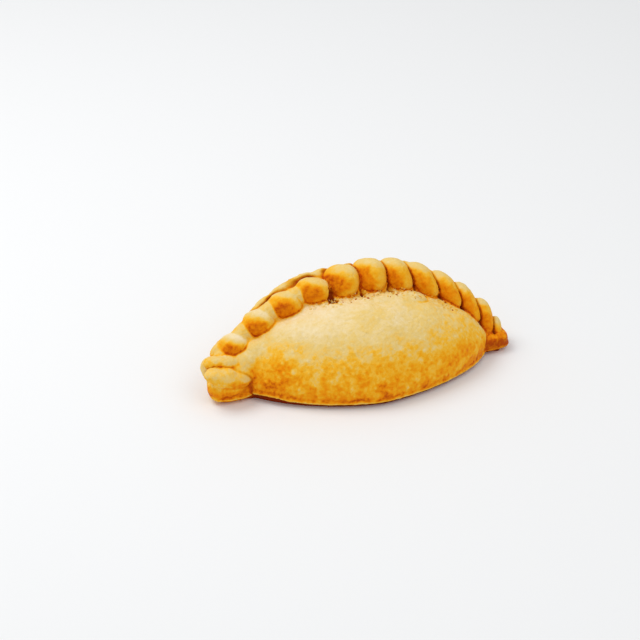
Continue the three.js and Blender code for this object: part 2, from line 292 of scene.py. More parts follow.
class TailSizes(bpy.types.PropertyGroup):
    """The pinched tails: each form by its middle and half sizes along X, Y and Z"""

    left_block: placed("Left block", "On the base", (-0.074, 0.010, 0.006), (0.0115, 0.009, 0.0068))
    left_finger: placed("Left finger", "Above it", (-0.0778, 0.0042, 0.0161), (0.0135, 0.006, 0.0051))
    left_flap: placed("Left flap", "Next fold", (-0.0706, 0.0108, 0.0195), (0.0187, 0.005, 0.0046))
    left_hood: placed("Left hood", "Top fold", (-0.0736, 0.0205, 0.0252), (0.010, 0.005, 0.0046))
    left_edge: placed("Left edge", "Joins the folds", (-0.0835, 0.015, 0.0166), (0.0054, 0.005, 0.0076))
    right_block: placed("Right block", "On the base", (0.077, 0.0087, 0.0052), (0.0122, 0.009, 0.0058))
    block_roundness: number("Block roundness", "Superellipse power of the two blocks", 3.4)
    fold_roundness: number("Fold roundness", "Superellipse power of the folds", 2.3)
    finger_tilt: angle("Finger tilt", "How far the finger rises to the left", 18)
    flap_tilt: angle("Flap tilt", "How far the flap rises to the left", 12)
    hood_tilt: angle("Hood tilt", "How far the hood rises to the left", -41)


class CrustRelief(bpy.types.PropertyGroup):
    """Fine relief of the baked surface"""

    voxel: length("Voxel", "Grid size at which the forms are fused", 0.00066)
    bubble_height: length("Bubbles", "Height of the low bubbles in the crust", 0.00022)
    bubble_size: length("Bubble size", "Distance between those bubbles", 0.0045)
    blister_height: length("Blisters", "Height of the small round blisters", 0.00032)
    blister_size: length("Blister size", "Distance between those blisters", 0.0031)
    grain_height: length("Grain", "Height of the fine unevenness", 0.00012)
    grain_size: length("Grain size", "Distance between the fine bumps", 0.0019)
    rim_height: length("Rim height", "Height of the bottom sheet's rim", 0.0034)
    rim_half: length("Rim half", "Half the thickness of that rim", 0.0004)
    rim_out: length("Rim", "How far that rim stands out", 0.0006)
    rim_gap: length("Rim gap", "How far the crust is drawn in below it", 0.0010)
    rim_lift: length("Rim lift", "How far the rim lifts off at the left end", 0.0040)
    crease_depth: length("Crease depth", "How deep the creases between pleats are cut", 0.0006)
    pit_depth: length("Pit depth", "Depth of the holes at the creases' lower ends", 0.0013)
    crack_depth: length("Crack depth", "How deep the crack along the cut edge is", 0.0018)
    tear_height: length("Tear", "Height of the torn pastry along the seam", 0.0012)
    lump_height: length("Lumps", "Height of the crumpled lumps on the left tail and the cut edge", 0.0012)
    lump_size: length("Lump size", "Distance between those lumps", 0.0065)


class CrumbSizes(bpy.types.PropertyGroup):
    """The crumbs of torn pastry along the seam"""

    count: IntProperty(name="Crumbs", description="Number of crumbs", default=170, min=1)
    radii: lengths("Radii", "Radius of the smallest and the largest crumb", (0.00028, 0.0009))
    sunk: number("Sunk", "Share of its radius by which a crumb is sunk into the crust", 0.35)
    dark_share: number("Dark share", "Share of the crumbs that are scorched", 0.18)


class CrustColours(bpy.types.PropertyGroup):
    """Colours of the crust from the palest to the most baked"""

    floury: colour("Floury", "Crust that the oven has hardly coloured", "eedbb2")
    cream: colour("Cream", "Pale crust beside the seam", "e7c87c")
    straw: colour("Straw", "Yellow crust of the upper dome", "f1ba3c")
    golden: colour("Golden", "Egg-washed crust of the belly", "f0a81a")
    amber: colour("Amber", "Well baked faces of the pleats", "ea8806")
    chestnut: colour("Chestnut", "Darkest baked edges", "c05206")
    # This dark colour is mostly painted shade in creases, holes, the crack and below the rim, and also
    # scorched specks and crumbs
    scorched_and_painted_shade: colour("Scorched", "Bottom of the creases and holes", "862a06")


class StageSettings(bpy.types.PropertyGroup):
    """Camera, floor and lights"""

    azimuth: angle("Azimuth", "Camera's turn about the vertical", -20)
    elevation: angle("Elevation", "Camera's angle above the horizon", 31.7)
    distance: length("Distance", "From the camera to the aimed point", 1.185)
    aim_right: length("Aim right", "Aimed point right of the origin in the view", -0.0219)
    aim_up: length("Aim up", "Aimed point above the origin in the view", 0.0310)
    lens: FloatProperty(name="Lens", description="On a 36 mm sensor", default=120, unit="CAMERA")
    floor_half: length("Floor", "Half the side of the floor", 6.0)
    floor_colour: colour("Floor colour", "Matt white paint", "edeeef")
    sky_strength: number("Sky", "Strength of the even white light", 0.72)
    key_power: FloatProperty(name="Key light", description="Overhead soft box", default=4.2, unit="POWER")
    fill_power: FloatProperty(name="Fill light", description="Front soft box", default=1.4, unit="POWER")


def super_scale(parts, power):
    """The factor that brings each row of parts to the unit superellipse of the given power."""
    return (np.abs(parts) ** power).sum(axis=1) ** (-1 / power)


def signed_power(value, power):
    return np.sign(value) * np.abs(value) ** power


def smooth_step(value, low, high):
    step = np.clip((value - low) / (high - low), 0, 1)
    return step * step * (3 - 2 * step)


def fading(value, low, high):
    """One up to the low end, falling smoothly to zero at the high end."""
    return 1 - smooth_step(value, low, high)


def window(value, start, full, fade, end):
    """One from full to fade, falling smoothly to zero at the start and the end."""
    return smooth_step(value, start, full) * fading(value, fade, end)


def limited(value, start, unit, most):
    """How many units a value lies above its start, from zero to the most."""
    return np.clip((value - start) / unit, 0, most)


def bell(value, width):
    return np.exp(-((value / width) ** 2))


def between(ends, position):
    return ends[0] + (ends[1] - ends[0]) * position


def uneven(index, kind):
    """A repeatable uneven number from -1 to 1: the fraction of a steep sine wave."""
    wave = math.sin(index * 12.9898 + kind * 78.233) * 437.585
    return 2 * (wave - math.floor(wave)) - 1


def noise_at(points, size, seed):
    """Smooth noise from about -1 to 1 with features of a size in metres, shifted by the seed."""
    shift = Vector([step * seed for step in NOISE_STEPS])
    return np.array([noise.noise(Vector(p) + shift) for p in points / size])


def blisters_at(points, size):
    """Round blisters in uneven cells of a size in metres, from 0 between them to 1 on their tops."""
    reach = 0.42
    tops = np.zeros(len(points))
    for i, point in enumerate(points / size):
        distances, centres = noise.voronoi(Vector(point))
        strength = 0.5 + 0.5 * noise.cell(centres[0] * 3.7)
        tops[i] = strength * max(0.0, 1 - (distances[0] / reach) ** 2)
    return tops


def swell(x, y, dome):
    turn = 2 * math.pi / dome.swell_length
    waves = [part * np.sin(turn * (a * x + b * y) + phase) for part, a, b, phase in SWELL_WAVES]
    return dome.swell_height * sum(waves)


def dome_rise(along, fullness, dome):
    """Height of the dome's top line above its belly line, lower the less full the dome is there."""
    point = np.where(along < 0, dome.left_height_point, dome.right_height_point)
    return (dome.height - dome.belly_height) * fullness**point


def dome_top(along, dome):
    """Height of the dome's top line, by the share of its half length from its middle."""
    least_fullness = 0.03
    return dome.belly_height + dome_rise(along, np.clip(1 - along * along, least_fullness, 1), dome)


def dome_surface(ball, dome):
    """Points of a ball with its poles on X, moved to the filled dome."""
    along = np.clip(ball[:, 0], -1, 1)
    ring = np.maximum(np.hypot(ball[:, 1], ball[:, 2]), 1e-9)
    section = ball[:, 1:] / ring[:, None]
    above = section[:, 1] > 0
    scales = [super_scale(section, power) for power in (dome.top_roundness, dome.under_roundness)]
    across, up = (section * np.where(above, *scales)[:, None]).T
    fullness = 1 - along * along
    reach = np.where(across < 0, dome.front_reach, dome.back_reach)
    rise = dome_rise(along, fullness, dome)
    depth = dome.underside_depth * fullness**dome.under_point
    x = dome.middle_x + dome.half_length * along
    z = dome.belly_height + np.where(above, rise, depth) * up
    lean = dome.lean * np.maximum(z - dome.belly_height, 0) / (dome.height - dome.belly_height)
    bend = np.where(along < 0, *dome.end_bends) * np.abs(along) ** dome.bend_power
    y = reach * fullness**dome.plan_point * across + lean + bend
    return np.stack([x, y, z + np.maximum(up, 0) * swell(x, y, dome)], axis=1)


class RopeArch:
    """The rope's middle line, with places and axes by the share of its length."""

    SAMPLES = 480

    def __init__(self, rope):
        self.rope = rope
        self.foot = np.array([0, rope.base_y, 0])
        self.up = np.array([0, math.sin(rope.lean), math.cos(rope.lean)])
        self.front = np.array([0, -math.cos(rope.lean), math.sin(rope.lean)])
        turn = np.linspace(math.pi, 0, self.SAMPLES)
        self.points = self.place(np.cos(turn), np.sin(turn))
        steps = np.linalg.norm(np.diff(self.points, axis=0), axis=1)
        travelled = np.concatenate([[0], np.cumsum(steps)])
        self.length = travelled[-1]
        self.shares = travelled / self.length

    def place(self, side, rise):
        """The place in the arch's plane that belongs to a direction from the middle of the arch's foot."""
        rope = self.rope
        reach = np.where(side < 0, rope.left_reach, rope.right_reach)
        points = self.foot + (rope.rise * signed_power(rise, rope.point))[:, None] * self.up
        points[:, 0] = rope.apex_x + reach * signed_power(side, rope.point)
        return points

    def in_plane(self, points):
        """How far points lie to the right, up in the arch's plane, and in front of it."""
        offset = points - self.foot
        return np.stack([points[:, 0], offset @ self.up, offset @ self.front], axis=1)

    def at(self, position):
        return np.array([np.interp(position, self.shares, self.points[:, k]) for k in range(3)])

    def tangent(self, position):
        step = 0.002
        return Vector(self.at(position + step) - self.at(position - step)).normalized()

    def axes(self, along, slant=0.0, turn=0.0):
        """Along a direction in the plane, outwards and to the front, as the columns of a matrix."""
        front = Vector(self.front)
        slanted = Matrix.Rotation(slant, 3, front)
        out = slanted @ front.cross(along).normalized()
        turned = Matrix.Rotation(-turn, 3, out) @ (slanted @ along)
        return np.array([turned, out, turned.cross(out).normalized()]).T

    def pleat_share(self, index):
        rope = self.rope
        step = index / (rope.pleat_count - 1)
        return between((rope.first_share, rope.last_share), step + rope.ease * math.sin(math.pi * step))

    def half_pleats(self, first, last):
        """Shares of the arch at every half pleat from the first to the last."""
        return [self.pleat_share(i) for i in np.arange(first, last + 0.25, 0.5)]

    def hung(self, position):
        """One where the pleats hang from the smooth left ridge, zero where they reach the rope's top."""
        return fading(position, self.rope.hung_until, self.rope.upright_from)


class Pillow:
    """A rounded superellipsoid, thicker at one end by the wedge share and sheared, in its own axes."""

    def __init__(self, centre, axes, half_sizes, roundness, wedge=0.0, shear=0.0):
        self.centre = np.asarray(centre)
        self.axes = axes
        self.half_sizes = np.asarray(half_sizes)
        self.roundness = roundness
        self.wedge = wedge
        self.shear = shear

    def surface(self, ball):
        points = ball * super_scale(ball, self.roundness)[:, None]
        points[:, 2] *= 1 + self.wedge * points[:, 0]
        points *= self.half_sizes
        points[:, 0] -= self.shear * points[:, 1]
        return self.centre + points @ self.axes.T

    def local(self, points):
        """Points in the pillow's own axes, where its surface lies at one."""
        own = (points - self.centre) @ self.axes
        own[:, 0] += self.shear * own[:, 1]
        own /= self.half_sizes
        own[:, 2] /= np.maximum(1 + self.wedge * np.clip(own[:, 0], -1, 1), 0.1)
        return own

    def depth(self, points):
        """One on the pillow's surface, less inside it and more outside."""
        own = self.local(points)
        return (np.abs(own) ** self.roundness).sum(axis=1) ** (1 / self.roundness)


def rope_pleats(arch):
    rope = arch.rope
    pleats = []
    for i in range(rope.pleat_count):
        position = arch.pleat_share(i)
        hung = arch.hung(position)
        pitch = (arch.pleat_share(i + 0.5) - arch.pleat_share(i - 0.5)) * arch.length
        half_length = pitch * rope.overlap * math.sqrt(arch.tangent(position).x) / 2
        half_height = between((between(rope.half_heights, position), rope.hung_half_height), hung)
        upright_top = between(rope.pleat_tops, smooth_step(position, *TOPS_COME_DOWN))
        top = between((upright_top, rope.hung_top), hung)
        centre = arch.at(position) + (top - half_height) * arch.up
        turn = between((rope.overlap_turn, rope.hung_turn), hung)
        slant = between((rope.slant, rope.hung_slant), hung)
        axes = arch.axes(Vector((1, 0, 0)), slant, turn)
        sizes = [half_length, half_height, between(rope.half_depths, position)]
        sizes = [size * (1 + rope.unevenness * uneven(i, k + 1)) for k, size in enumerate(sizes)]
        roundness = between((rope.roundness, rope.hung_roundness), hung)
        shear = math.tan(rope.shear) * window(position, *rope.shear_shares)
        pleats.append(Pillow(centre, axes, sizes, roundness, rope.wedge * (1 - hung), shear))
    return pleats


def rope_lip(arch):
    """The cut edge behind the rope, two pillows to a pleat."""
    rope = arch.rope
    pillows = []
    for position in arch.half_pleats(rope.lip_first, rope.lip_last):
        axes = arch.axes(arch.tangent(position))
        out = rope.lip_out * bell(position - rope.lip_middle, rope.lip_spread)
        back = between(rope.lip_backs, position)
        centre = arch.at(position) + out * axes[:, 1] - back * axes[:, 2]
        pillows.append(Pillow(centre, axes, rope.lip_half_sizes, rope.roundness))
    return pillows


def rope_ridge(arch):
    """The smooth ridge that joins the tops of the left pleats to the cut edge."""
    rope = arch.rope
    pillows = []
    for position in arch.half_pleats(-0.5, rope.ridge_last):
        axes = arch.axes(arch.tangent(position))
        centre = arch.at(position) + rope.ridge_out * axes[:, 1]
        pillows.append(Pillow(centre, axes, rope.ridge_half_sizes, SOFT_ROUNDNESS))
    return pillows


def rope_shoulder(arch):
    """The pastry below the pleats that fills the valley between the rope and the dome's top."""
    rope = arch.rope
    axes = arch.axes(Vector((1, 0, 0)))
    pillows = []
    for position in arch.half_pleats(-0.5, rope.shoulder_last):
        middle = smooth_step(position, *SHOULDER_RISES)
        down = between(rope.shoulder_downs, middle)
        front = between(rope.shoulder_fronts, middle)
        centre = arch.at(position) - down * arch.up + front * arch.front
        pillows.append(Pillow(centre, axes, rope.shoulder_half_sizes, SOFT_ROUNDNESS))
    return pillows


def tail_form(form, roundness, tilt=0.0):
    """A form of a tail, whose left end is raised by the tilt."""
    return Pillow(form[:3], np.array(Matrix.Rotation(tilt, 3, "Y")), form[3:], roundness)


class PastyForms:
    """All forms that the crust is fused from, in their own coordinates."""

    def __init__(self, scene):
        self.dome = scene.pasty_dome
        self.arch = RopeArch(scene.pasty_rope)
        tails = scene.pasty_tails
        self.pleats = rope_pleats(self.arch)
        self.lip = rope_lip(self.arch)
        self.ridge = rope_ridge(self.arch)
        self.shoulder = rope_shoulder(self.arch)
        self.left_tail = [
            tail_form(tails.left_block, tails.block_roundness),
            tail_form(tails.left_finger, tails.fold_roundness, tails.finger_tilt),
            tail_form(tails.left_flap, tails.fold_roundness, tails.flap_tilt),
            tail_form(tails.left_hood, tails.fold_roundness, tails.hood_tilt),
            tail_form(tails.left_edge, tails.fold_roundness),
        ]
        self.right_tail = [tail_form(tails.right_block, tails.block_roundness)]

    def web_surface(self, ball):
        depth = self.arch.rope.web_half_depth * ball[:, 2:]
        return self.arch.place(ball[:, 0], ball[:, 1]) + depth * self.arch.front


def finished_mesh(shape, name):
    """A new mesh of what a bmesh holds. The bmesh is freed."""
    mesh = bpy.data.meshes.new(name)
    shape.to_mesh(mesh)
    shape.free()
    return mesh


def add_object(name, data):
    """A new object at the origin, linked to the scene."""
    thing = bpy.data.objects.new(name, data)
    bpy.context.scene.collection.objects.link(thing)
    return thing


def add_ball(whole, divisions, reshape, poles=Matrix.Identity(4)):
    """Adds a ball to a bmesh, with its points moved by a function of all of them."""
    ball = bmesh.new()
    bmesh.ops.create_uvsphere(
        ball, u_segments=divisions[0], v_segments=divisions[1], radius=1.0, matrix=poles
    )
    points = reshape(np.array([v.co for v in ball.verts]))
    for vertex, point in zip(ball.verts, points):
        vertex.co = point
    mesh = finished_mesh(ball, "form")
    whole.from_mesh(mesh)
    bpy.data.meshes.remove(mesh)


def vectors_of(items, name):
    """A vector property of all items of a mesh, as rows."""
    values = np.zeros(len(items) * 3, np.float32)
    items.foreach_get(name, values)
    return values.reshape(-1, 3).astype(float)


def with_modifier(mesh, kind, settings, weights=None):
    """The mesh after one modifier, whose strength may follow a weight for each vertex."""
    holder = add_object("holder", mesh)
    modifier = holder.modifiers.new(kind, kind)
    for name, value in settings.items():
        setattr(modifier, name, value)
    if weights is not None:
        group = holder.vertex_groups.new(name="strength")
        finest = 10
        levels = np.round(weights * finest).astype(int)
        for level in range(1, finest + 1):
            group.add(np.flatnonzero(levels == level).tolist(), level / finest, "REPLACE")
        modifier.vertex_group = group.name
    bpy.context.view_layer.update()
    evaluated = holder.evaluated_get(bpy.context.evaluated_depsgraph_get())
    changed = bpy.data.meshes.new_from_object(evaluated)
    bpy.data.objects.remove(holder)
    bpy.data.meshes.remove(mesh)
    return changed


def fused_crust(forms, relief):
    """All forms of the parcel fused into one closed mesh."""
    whole = bmesh.new()
    poles_on_x = Matrix.Rotation(math.pi / 2, 4, "Y")
    add_ball(whole, DOME_DIVISIONS, lambda ball: dome_surface(ball, forms.dome), poles_on_x)
    add_ball(whole, WEB_DIVISIONS, forms.web_surface)
    for pillow in forms.pleats:
        add_ball(whole, PLEAT_DIVISIONS, pillow.surface)
    for pillow in forms.lip + forms.ridge + forms.shoulder + forms.left_tail + forms.right_tail:
        add_ball(whole, FOLD_DIVISIONS, pillow.surface)
    settings = {"mode": "VOXEL", "voxel_size": relief.voxel}
    return with_modifier(finished_mesh(whole, "forms"), "REMESH", settings)


def cut_level(parcel, height, clear):
    """Cuts a bmesh at a height, clears what is below if asked, and gives the edges of the cut."""
    everything = parcel.verts[:] + parcel.edges[:] + parcel.faces[:]
    place = (0, 0, height)
    cut = bmesh.ops.bisect_plane(
        parcel, geom=everything, dist=1e-6, plane_co=place, plane_no=(0, 0, -1), clear_outer=clear
    )
    return [e for e in cut["geom_cut"] if isinstance(e, bmesh.types.BMEdge)]


def cut_flat_base(mesh, relief):
    """Cuts away what is below the base plane, closes the cut, and adds rows of points for the rim."""
    parcel = bmesh.new()
    parcel.from_mesh(mesh)
    rim = cut_level(parcel, 0.0, True)
    for row in RIM_ROWS:
        cut_level(parcel, relief.rim_height + row * relief.rim_half, False)
    bmesh.ops.holes_fill(parcel, edges=rim, sides=0)
    for edge in rim:
        edge.smooth = False
    for face in parcel.faces:
        face.smooth = True
    bmesh.ops.recalc_face_normals(parcel, faces=parcel.faces[:])
    parcel.to_mesh(mesh)
    parcel.free()


def hollowness(mesh, rounds=16):
    """How far the surface lies below the mean of its surroundings, in metres: most in creases."""
    ends = np.zeros(len(mesh.edges) * 2, np.int32)
    mesh.edges.foreach_get("vertices", ends)
    first, second = ends.reshape(-1, 2).T
    count = len(mesh.vertices)
    neighbours = np.bincount(first, minlength=count) + np.bincount(second, minlength=count)
    points = vectors_of(mesh.vertices, "co")
    mean = points.copy()
    for _ in range(rounds):
        sums = [
            np.bincount(first, mean[second, k], count) + np.bincount(second, mean[first, k], count)
            for k in range(3)
        ]
        mean = 0.5 * mean + 0.5 * np.stack(sums, axis=1) / neighbours[:, None]
    return ((mean - points) * vectors_of(mesh.vertex_normals, "vector")).sum(axis=1)


def nearest_sample(points, line, batch=20000):
    """The nearest sample of a line to each point, worked out in batches to save memory."""
    nearest = np.zeros(len(points), int)
    for start in range(0, len(points), batch):
        part = points[start : start + batch]
        gaps = ((part[:, None, :] - line[None, :, :]) ** 2).sum(axis=2)
        nearest[start : start + batch] = gaps.argmin(axis=1)
    return nearest


class CrustFields:
    """Where each point of the crust lies: on which pleat, how near a crease, how far up the dome."""

    def __init__(self, mesh, forms):
        self.forms = forms
        self.points = vectors_of(mesh.vertices, "co")
        self.normals = vectors_of(mesh.vertex_normals, "vector")
        self.hollow = hollowness(mesh)
        self.height = self.points[:, 2]
        self.along = (self.points[:, 0] - forms.dome.middle_x) / forms.dome.half_length
        self.read_rope(forms.arch)
        self.read_pleats(forms.arch, forms.pleats)
        self.read_covers(forms)
        self.read_seam(forms.arch, forms.pleats)

    def depths_in(self, pillows):
        """Each point's depth in each of the pillows."""
        return np.stack([pillow.depth(self.points) for pillow in pillows], axis=1)

    def local_in(self, pillows, chosen):
        """Each point in the own axes of the pillow that is chosen for it."""
        own = np.zeros_like(self.points)
        for i, pillow in enumerate(pillows):
            mine = chosen == i
            own[mine] = pillow.local(self.points[mine])
        return own

    def read_rope(self, arch):
        """Where each point lies along the arch, out from it in its plane, and in front of that plane."""
        flat = arch.in_plane(self.points)
        self.x, self.up, self.front = flat.T
        line = arch.in_plane(arch.points)[:, :2]
        nearest = nearest_sample(flat[:, :2], line)
        tangent = np.gradient(line, axis=0)
        tangent /= np.linalg.norm(tangent, axis=1)[:, None]
        outward = np.stack([-tangent[:, 1], tangent[:, 0]], axis=1)
        self.share = arch.shares[nearest]
        self.out = ((flat[:, :2] - line[nearest]) * outward[nearest]).sum(axis=1)

    def read_pleats(self, arch, pleats):
        """The nearest pleat, the place in its own axes, and how much nearer it is than the next one."""
        depths = self.depths_in(pleats)
        order = np.argsort(depths, axis=1)[:, :2]
        rows = np.arange(len(self.points))
        self.pleat = order[:, 0]
        self.pleat_depth = depths[rows, order[:, 0]]
        self.crease_gap = depths[rows, order[:, 1]] - self.pleat_depth
        self.pleat_local = self.local_in(pleats, self.pleat)
        pleat_shares = np.array([arch.pleat_share(i) for i in range(len(pleats))])
        self.pleat_share = pleat_shares[self.pleat]
        self.hung = arch.hung(self.pleat_share)

    def read_covers(self, forms):
        """How far each point belongs to a pleat, the ridge, the cut edge or a tail, from 0 to 1."""
        self.lip_depth = self.depths_in(forms.lip).min(axis=1)
        self.ridge_depth = self.depths_in(forms.ridge).min(axis=1)
        left_depths = self.depths_in(forms.left_tail)
        self.left_form = left_depths.argmin(axis=1)
        self.left_layers = np.sort(left_depths, axis=1)
        right_depth = self.depths_in(forms.right_tail).min(axis=1)
        self.on_pleat = fading(self.pleat_depth, *SKIN)
        off_pleat = 1 - self.on_pleat
        self.on_ridge = fading(self.ridge_depth, *RIDGE_SKIN) * off_pleat
        self.on_lip = fading(self.lip_depth, *LIP_SKIN) * off_pleat * (1 - self.on_ridge)
        self.on_left_tail = fading(self.left_layers[:, 0], *SKIN) * off_pleat
        self.on_right_tail = fading(right_depth, *SKIN) * off_pleat

    def read_seam(self, arch, pleats):
        """How far above the line of the pleats' lower ends each point lies, and how near a hole in it."""
        centres = arch.in_plane(np.array([pillow.centre for pillow in pleats]))
        bottoms = centres[:, 1] - [pillow.half_sizes[1] for pillow in pleats]
        self.above_seam = self.up - np.interp(self.x, centres[:, 0], bottoms)
        ragged = HOLE_RAGGEDNESS * noise_at(self.points, *RAGGED_HOLES)
        holes = []
        for i, half_width, height, shift in SEAM_HOLES:
            # A hole tapers upwards along the crease between two pleats
            x = (centres[i, 0] + centres[i + 1, 0]) / 2 + shift
            above = self.up - (bottoms[i] + bottoms[i + 1]) / 2 - HOLE_LIFT
            inside = half_width * (1 - above / height) - np.abs(self.x - x) + ragged
            holes.append(smooth_step(inside, -0.0003, 0.0005) * smooth_step(above + ragged, -0.001, 0.0))
        # Between the right pleats the holes lie where two of them meet the dome
        notch = fading(self.crease_gap, *NOTCH) * window(self.pleat_depth, 1.0, 1.04, 1.14, 1.26)
        holes.append(notch * smooth_step(self.pleat_share, *NOTCHED_PLEATS))
        self.pit = np.maximum.reduce(holes) * smooth_step(self.front, 0.0, 0.002)

    def crease(self):
        """One along the creases between neighbouring pleats, fading to zero on their faces."""
        return fading(self.crease_gap, *PLEAT_CREASE) * self.on_pleat

    def tail_crease(self):
        """One along the creases between the left tail's layers."""
        gap = self.left_layers[:, 1] - self.left_layers[:, 0]
        return fading(gap, *TAIL_CREASE) * self.on_left_tail

    def tail_edge(self):
        """One along the crease between the dome and the left tail."""
        just_outside, spread = 1.07, 0.05
        edge = bell(self.left_layers[:, 0] - just_outside, spread) * (1 - self.on_pleat)
        edge *= (self.left_form <= FINGER) * smooth_step(self.along, -1.05, -0.9)
        return edge * smooth_step(-self.normals[:, 1], 0.2, 0.5)

    def tail_hole(self):
        """One in the small hole between the left tail's finger and flap."""
        finger = self.forms.left_tail[FINGER]
        along = (self.points[:, 0] - finger.centre[0]) / finger.half_sizes[0]
        middle, spread = -0.45, 0.22
        return self.tail_crease() * bell(along - middle, spread) * (self.left_form != BLOCK)

    def seam(self):
        """One along the torn seam where the rope's front meets the dome."""
        across = bell(self.above_seam - SEAM_RISE, SEAM_HALF)
        return across * window(self.x, *SEAM_WINDOW) * smooth_step(self.front, 0.001, 0.004)

    def crack(self):
        """One along the crack between the ridge and the cut edge behind it, wider at its openings."""
        fore = np.minimum(self.ridge_depth, self.pleat_depth)
        openings = sum(bell(self.share - middle, spread) for middle, spread in CRACK_OPENINGS)
        line = fading(np.abs(self.lip_depth - fore) / (1 + 2.5 * openings), *CRACK_LINE)
        return line * window(self.share, *CRACK_WINDOW) * smooth_step(self.out, 0.004, 0.007)

    def softness(self):
        """How far the fused forms are smoothed: the left ridge, and the shoulder between rope and dome."""
        left = fading(self.share, *SOFT_RIDGE_ENDS)
        ridge = left * smooth_step(self.out, 0.001, 0.005) * smooth_step(self.lip_depth, 1.0, 1.15)
        below = fading(self.share, *SHOULDER_ENDS) * smooth_step(self.height, 0.004, 0.010)
        valley = below * (1 - self.on_pleat) * smooth_step(self.front, 0.0, 0.003)
        soft = np.maximum(ridge, valley) * (1 - self.on_left_tail)
        return np.clip(np.maximum(soft, 0.3 * self.on_left_tail), 0.03, 1)


def relief_heights(fields, blisters, relief):
    """How far the fine relief stands out from the fused forms, in metres."""
    points = fields.points
    bubbles = noise_at(points, relief.bubble_size, BUBBLE_SEED)
    grain = noise_at(points, relief.grain_size, GRAIN_SEED)
    lumps = noise_at(points, relief.lump_size, LUMP_SEED)
    broken = np.clip(0.5 + 0.9 * noise_at(points, *CRACK_GAPS), 0, 1)
    torn = noise_at(points, *TORN_PASTRY)
    heights = relief.bubble_height * np.maximum(bubbles, -0.3) + relief.grain_height * grain
    heights += relief.blister_height * blisters * (1 - 0.3 * fields.on_pleat)
    heights -= relief.crease_depth * fields.crease()
    heights -= relief.crack_depth * fields.crack() * broken
    heights -= relief.pit_depth * fields.pit
    heights += relief.tear_height * fields.seam() * torn
    crumpled = np.maximum(fields.on_left_tail, 0.7 * fields.on_lip)
    heights += relief.lump_height * lumps * crumpled
    return heights * smooth_step(fields.height, 0.0, 0.002)


def above_rim(fields, relief):
    """Height above the middle of the bottom sheet's rim, in halves of the rim's thickness."""
    lift = relief.rim_lift * bell(fields.along + 0.86, 0.14) * smooth_step(fields.normals[:, 0], -0.9, -0.4)
    lift *= (1 - fields.on_left_tail) * smooth_step(-fields.normals[:, 1], 0.0, 0.3)
    return (fields.height - lift - relief.rim_height) / relief.rim_half


def base_rim(fields, relief):
    """Level steps that shape the thin rim of the bottom sheet, with a gap below it."""
    level = fields.normals * (1, 1, 0)
    level /= np.maximum(np.linalg.norm(level, axis=1), 1e-6)[:, None]
    above = above_rim(fields, relief)
    inwards = relief.rim_gap * fading(above, *BELOW_RIM)
    outwards = relief.rim_out * np.interp(above, *RIM_SECTION)
    return (outwards - inwards)[:, None] * level


def dome_browning(fields):
    """Golden at the base and paler towards the seam, with well baked patches low on the belly."""
    along = fields.along
    up = fields.height / dome_top(along, fields.forms.dome)
    drift = noise_at(fields.points, *SLOW_DRIFT)
    baked = BELLY_TONE - SEAM_PALER * smooth_step(up + 0.16 * drift, 0.25, 0.92)
    for patch in DOME_PATCHES:
        spread = bell(along - patch.along, patch.along_spread) * bell(up - patch.up, patch.up_spread)
        baked += patch.tone * spread
    right_end = smooth_step(along, 0.25, 0.8) * bell(up - 0.72, 0.42)
    left_end = fading(along, -1.0, -0.8)
    pale_top = bell(along + 0.45, 0.3) * smooth_step(up, 0.8, 0.95)
    baked += 0.20 * right_end + 0.18 * left_end - 0.10 * pale_top + 0.10 * drift
    return between((baked, BACK_TONE), fading(fields.front, *BACK_ENDS))


def egg_wash(fields, blisters):
    """Uneven egg wash: pale blotches, and pale tops of the blisters between golden hollows."""
    blotches = noise_at(fields.points, *EGG_BLOTCHES)
    spread = noise_at(fields.points, *EGG_SPREAD)
    pale = 0.18 * smooth_step(blotches + 0.5 * spread, 0.05, 0.4)
    return 0.07 - pale - 0.24 * blisters


def pleat_browning(fields):
    """An amber core on each face, darkest at its left, partly a deeper bake and partly painted shade under
    the pleat before it, in a yellow margin under a pale cap.
    """
    along, out, forward = fields.pleat_local.T
    shares = fields.pleat_share
    tones = np.array([uneven(i, PLEAT_TONE) for i in range(len(fields.forms.pleats))])
    ragged = 0.3 * noise_at(fields.points, *RAGGED_EDGES)
    lowest = fading(shares, *LOWEST_PLEATS_END)
    middle_along = 0.45 * smooth_step(shares, *TOPS_COME_DOWN) - 0.15
    middle_out = between((-0.12, -0.25), fields.hung) - 0.1 * lowest
    half_out = between((0.8, 0.78), fields.hung)
    off_core = np.hypot((along - middle_along) / 0.92, (out - middle_out) / half_out)
    core = fading(off_core + ragged, 0.45, 1.15)
    margin = PLEAT_MARGIN_TONE - 0.27 * smooth_step(out, 0.3, 0.8)
    margin -= 0.22 * lowest * smooth_step(out, 0.1, 0.5)
    front = smooth_step(forward, 0.0, 0.3)
    tone = PLEAT_CORE_TONE + 0.03 * tones[fields.pleat] + 0.03 * fields.hung
    tone += 0.06 * smooth_step(shares, *LAST_PLEATS) - 0.03 * smooth_step(shares, *UPRIGHT_PLEATS)
    # Each pleat's left side, tucked under the pleat before it, is darker: partly a deeper bake and partly
    # painted shade
    reddest_pleat = 4
    left_bake_and_painted_shade = 0.09 + 0.14 * bell(fields.pleat - reddest_pleat, 0.8)
    return between((margin, tone), core * front) + left_bake_and_painted_shade * fading(along, -0.7, -0.05) * front


def left_tail_browning(fields):
    """Folds with pale tops and orange fronts that fade to their left ends, over a baked block."""
    form_tones = np.array(list(LEFT_TAIL_TONES.values()))
    tops, fronts, front_tops, fade_from = form_tones[fields.left_form].T
    along, _, up = fields.local_in(fields.forms.left_tail, fields.left_form).T
    ragged = 0.3 * noise_at(fields.points, *RAGGED_EDGES)
    faded = fading(along + ragged, fade_from - 0.2, fade_from + 0.2)
    below = fading(up + ragged, front_tops - 0.25, front_tops + 0.25)
    patch = bell(along + 0.5 + ragged, 0.4) * bell(up - 0.05, 0.35) * (fields.left_form == BLOCK)
    return between((tops, fronts - 0.34 * faded), below) + 0.2 * patch


